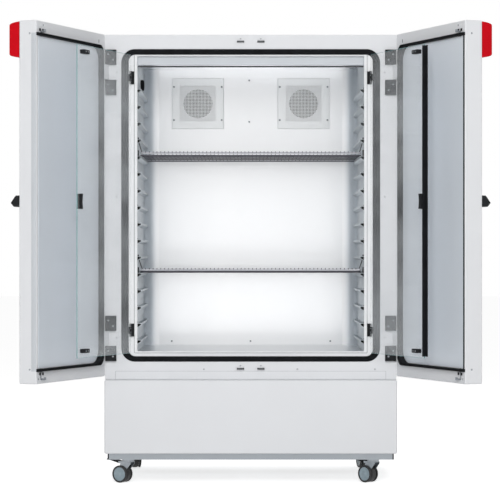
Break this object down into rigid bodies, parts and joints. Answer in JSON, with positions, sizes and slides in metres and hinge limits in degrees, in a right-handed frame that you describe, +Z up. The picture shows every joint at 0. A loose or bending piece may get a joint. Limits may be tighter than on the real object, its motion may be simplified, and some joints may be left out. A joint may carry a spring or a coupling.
{
  "type": "refrigerated incubator",
  "caption": "Floor-standing refrigerated incubator cabinet on casters: insulated outer doors, inner glass doors, wire shelves, fan plenum, latching handles and a compressor base.",
  "frame": {"origin": "on the floor, under the middle of the whole object's box with its doors standing open", "axes": "+X to the cabinet's right as seen from the front, +Y from the doors to the rear panel, +Z up"},
  "size_m": [1.9496, 1.3796, 1.93],
  "materials": {
    "white_paint": "semi-gloss enamel",
    "door_paint": "semi-gloss enamel over a shell filled with foam",
    "stainless": "fine brushed, softly reflective",
    "zinc": "zinc plated",
    "dark_steel": "dark coated",
    "black_rubber": "matt",
    "black_plastic": "satin",
    "white_plastic": "satin",
    "red_plastic": "gloss",
    "foam": "rigid foam",
    "glass": "clear"
  },
  "bodies": {
    "cabinet": {"base_frame": "zinc", "base_front_panel": "white_paint", "outer_casing": "white_paint", "rear_panel": "white_paint", "mains_inlet": "black_plastic", "front_frame": "white_paint", "frame_gasket": "black_rubber", "chamber_lip": "white_plastic", "chamber_wall_left": "stainless", "chamber_wall_right": "stainless", "chamber_floor": "stainless", "chamber_ceiling": "stainless", "chamber_back_wall": "stainless", "insulation": "foam", "compressor": "dark_steel", "evaporator": "stainless", "heater_element": "dark_steel", "condenser": "stainless", "condenser_shroud": "black_plastic", "fan_cover_left": "stainless", "fan_cover_right": "stainless", "fan_motor_left": "dark_steel", "fan_motor_right": "dark_steel", "port_sleeve": "white_plastic", "door_hinge_left_lower": "black_plastic", "door_hinge_left_upper": "black_plastic", "door_hinge_right_lower": "black_plastic", "door_hinge_right_upper": "black_plastic"},
    "door_left": {"door_shell_left": "door_paint", "door_liner_left": "stainless", "door_gasket_left": "black_rubber", "door_housing_left": "red_plastic"},
    "latch_left": {"latch_rod_left": "zinc"},
    "handle_left": {"door_handle_left": "black_plastic"},
    "glass_left": {"glass_door_left": "glass"},
    "door_right": {"door_shell_right": "door_paint", "door_liner_right": "stainless", "door_gasket_right": "black_rubber", "door_housing_right": "red_plastic", "display_screen": "black_plastic"},
    "latch_right": {"latch_rod_right": "zinc"},
    "handle_right": {"door_handle_right": "black_plastic"},
    "glass_right": {"glass_door_right": "glass", "glass_seal_strip": "black_rubber"},
    "shelf_upper": {"shelf_upper": "dark_steel"},
    "shelf_lower": {"shelf_lower": "dark_steel"},
    "port_plug": {"port_plug": "black_rubber"},
    "fan_left": {"fan_rotor_left": "black_plastic"},
    "fan_right": {"fan_rotor_right": "black_plastic"},
    "condenser_fan": {"condenser_fan_rotor": "black_plastic"},
    "caster_front_left": {"caster_fork_front_left": "zinc"},
    "wheel_front_left": {"caster_wheel_front_left": "black_rubber"},
    "brake_front_left": {"brake_pedal_front_left": "black_plastic"},
    "caster_front_right": {"caster_fork_front_right": "zinc"},
    "wheel_front_right": {"caster_wheel_front_right": "black_rubber"},
    "brake_front_right": {"brake_pedal_front_right": "black_plastic"},
    "caster_rear_left": {"caster_fork_rear_left": "zinc"},
    "wheel_rear_left": {"caster_wheel_rear_left": "black_rubber"},
    "caster_rear_right": {"caster_fork_rear_right": "zinc"},
    "wheel_rear_right": {"caster_wheel_rear_right": "black_rubber"}
  },
  "joints": [
    {"name": "door_left_hinge", "type": "hinge", "parent": "cabinet", "child": "door_left", "pos_m": [-0.617, -0.11625, 1.198], "axis": [0, 0, -1], "range_deg": [-112.5, 7.5]},
    {"name": "glass_left_hinge", "type": "hinge", "parent": "cabinet", "child": "glass_left", "pos_m": [-0.514, -0.11225, 1.204], "axis": [0, 0, -1], "range_deg": [-112.5, 7.5]},
    {"name": "handle_left_turn", "type": "hinge", "parent": "door_left", "child": "handle_left", "pos_m": [-0.91789, -0.61453, 1.203], "axis": [0.9239, -0.3827, 0], "range_deg": [-90, 0]},
    {"name": "latch_left_slide", "type": "slide", "parent": "door_left", "child": "latch_left", "axis": [0, 0, 1], "range_m": [0, 0.006]},
    {"name": "door_right_hinge", "type": "hinge", "parent": "cabinet", "child": "door_right", "pos_m": [0.617, -0.11625, 1.198], "axis": [0, 0, 1], "range_deg": [-112.5, 7.5]},
    {"name": "glass_right_hinge", "type": "hinge", "parent": "cabinet", "child": "glass_right", "pos_m": [0.514, -0.11225, 1.204], "axis": [0, 0, 1], "range_deg": [-112.5, 7.5]},
    {"name": "handle_right_turn", "type": "hinge", "parent": "door_right", "child": "handle_right", "pos_m": [0.91789, -0.61453, 1.203], "axis": [0.9239, 0.3827, 0], "range_deg": [-90, 0]},
    {"name": "latch_right_slide", "type": "slide", "parent": "door_right", "child": "latch_right", "axis": [0, 0, 1], "range_m": [0, 0.006]},
    {"name": "shelf_upper_slide", "type": "slide", "parent": "cabinet", "child": "shelf_upper", "axis": [0, -1, 0], "range_m": [0, 0.4]},
    {"name": "shelf_lower_slide", "type": "slide", "parent": "cabinet", "child": "shelf_lower", "axis": [0, -1, 0], "range_m": [0, 0.4]},
    {"name": "port_plug_slide", "type": "slide", "parent": "cabinet", "child": "port_plug", "axis": [-1, 0, 0], "range_m": [0, 0.16]},
    {"name": "fan_left_spin", "type": "hinge", "parent": "cabinet", "child": "fan_left", "pos_m": [-0.243, 0.56805, 1.681], "axis": [0, 1, 0], "continuous": true},
    {"name": "fan_right_spin", "type": "hinge", "parent": "cabinet", "child": "fan_right", "pos_m": [0.243, 0.56805, 1.681], "axis": [0, 1, 0], "continuous": true},
    {"name": "condenser_fan_spin", "type": "hinge", "parent": "cabinet", "child": "condenser_fan", "pos_m": [-0.29, 0.60755, 0.2673], "axis": [0, 1, 0], "continuous": true},
    {"name": "caster_front_left_swivel", "type": "hinge", "parent": "cabinet", "child": "caster_front_left", "pos_m": [-0.53, -0.02325, 0.0937], "axis": [0, 0, 1], "continuous": true},
    {"name": "wheel_front_left_roll", "type": "hinge", "parent": "caster_front_left", "child": "wheel_front_left", "pos_m": [-0.55598, -0.00825, 0.0375], "axis": [0.5, 0.866, 0], "continuous": true},
    {"name": "brake_front_left_press", "type": "hinge", "parent": "caster_front_left", "child": "brake_front_left", "pos_m": [-0.56118, -0.00525, 0.0877], "axis": [-0.5, -0.866, 0], "range_deg": [0, 12]},
    {"name": "caster_front_right_swivel", "type": "hinge", "parent": "cabinet", "child": "caster_front_right", "pos_m": [0.53, -0.02325, 0.0937], "axis": [0, 0, 1], "continuous": true},
    {"name": "wheel_front_right_roll", "type": "hinge", "parent": "caster_front_right", "child": "wheel_front_right", "pos_m": [0.50879, -0.00204, 0.0375], "axis": [0.7071, 0.7071, 0], "continuous": true},
    {"name": "brake_front_right_press", "type": "hinge", "parent": "caster_front_right", "child": "brake_front_right", "pos_m": [0.50454, 0.00221, 0.0877], "axis": [-0.7071, -0.7071, 0], "range_deg": [0, 12]},
    {"name": "caster_rear_left_swivel", "type": "hinge", "parent": "cabinet", "child": "caster_rear_left", "pos_m": [-0.53, 0.59675, 0.0937], "axis": [0, 0, 1], "continuous": true},
    {"name": "wheel_rear_left_roll", "type": "hinge", "parent": "caster_rear_left", "child": "wheel_rear_left", "pos_m": [-0.53777, 0.62573, 0.0375], "axis": [0.9659, 0.2588, 0], "continuous": true},
    {"name": "caster_rear_right_swivel", "type": "hinge", "parent": "cabinet", "child": "caster_rear_right", "pos_m": [0.53, 0.59675, 0.0937], "axis": [0, 0, 1], "continuous": true},
    {"name": "wheel_rear_right_roll", "type": "hinge", "parent": "caster_rear_right", "child": "wheel_rear_right", "pos_m": [0.52224, 0.62573, 0.0375], "axis": [0.9659, 0.2588, 0], "continuous": true}
  ],
  "couplings": [
    {"joint": "glass_left_hinge", "follows": "door_left_hinge", "ratio": 1},
    {"joint": "latch_left_slide", "follows": "handle_left_turn", "m_per_rad": -0.0038197},
    {"joint": "glass_right_hinge", "follows": "door_right_hinge", "ratio": 1},
    {"joint": "latch_right_slide", "follows": "handle_right_turn", "m_per_rad": -0.0038197}
  ]
}
